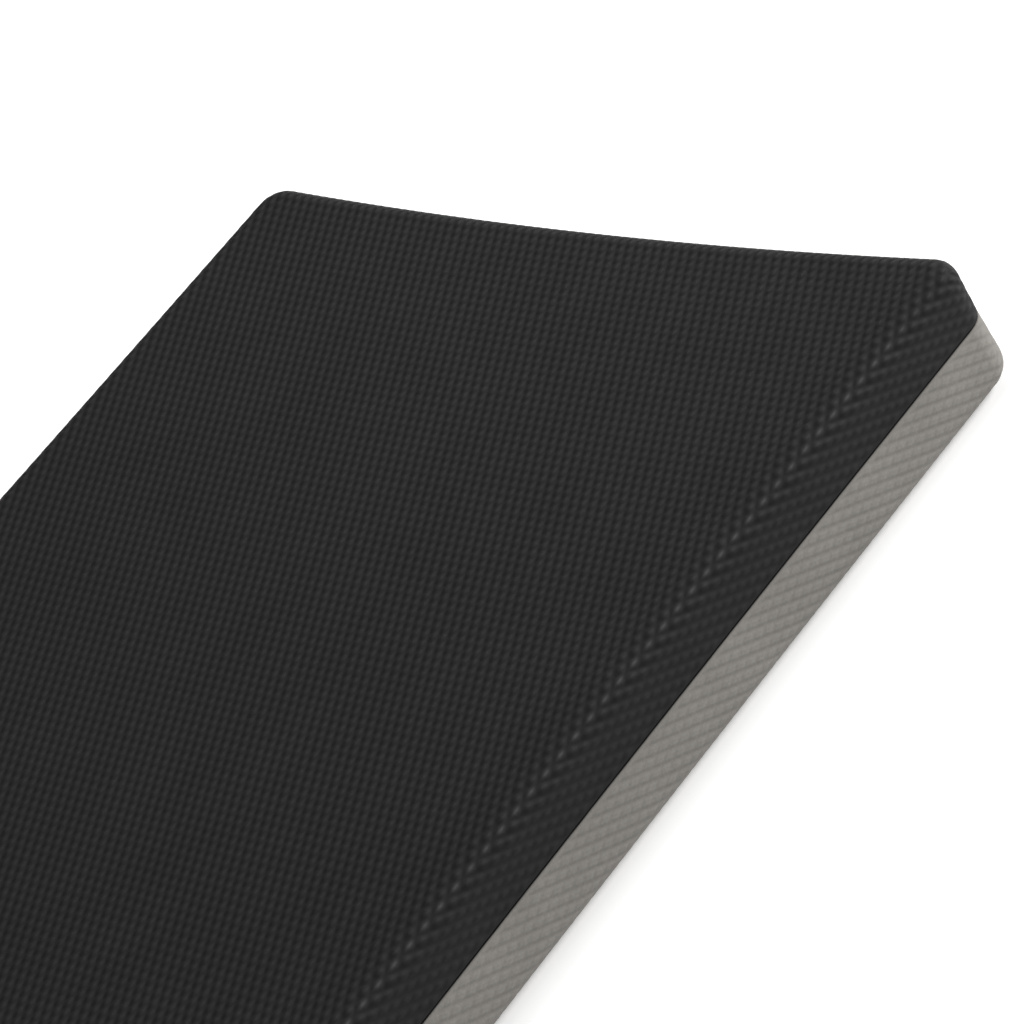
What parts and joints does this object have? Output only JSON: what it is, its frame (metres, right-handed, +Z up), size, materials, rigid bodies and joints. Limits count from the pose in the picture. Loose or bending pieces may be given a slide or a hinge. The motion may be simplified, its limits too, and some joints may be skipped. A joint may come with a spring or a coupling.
{
  "type": "balance pad",
  "caption": "Rectangular closed cell foam balance pad in two colours, with an embossed skin and a slightly dished top to stand on.",
  "frame": {"origin": "middle of the flat base the pad rests on", "axes": "+Z up out of the standing surface, +Y along the pad's length, +X across its width"},
  "size_m": [0.41, 0.5, 0.06],
  "materials": {
    "black_skin": "matte",
    "grey_skin": "matte",
    "seam_adhesive": "satin",
    "top_foam": "matte",
    "bottom_foam": "matte",
    "bond_film": "satin"
  },
  "bodies": {
    "root": {"top_skin": "black_skin", "bottom_skin": "grey_skin", "seam_bead": "seam_adhesive", "top_foam": "top_foam", "bottom_foam": "bottom_foam", "bond_film": "bond_film"}
  },
  "joints": []
}
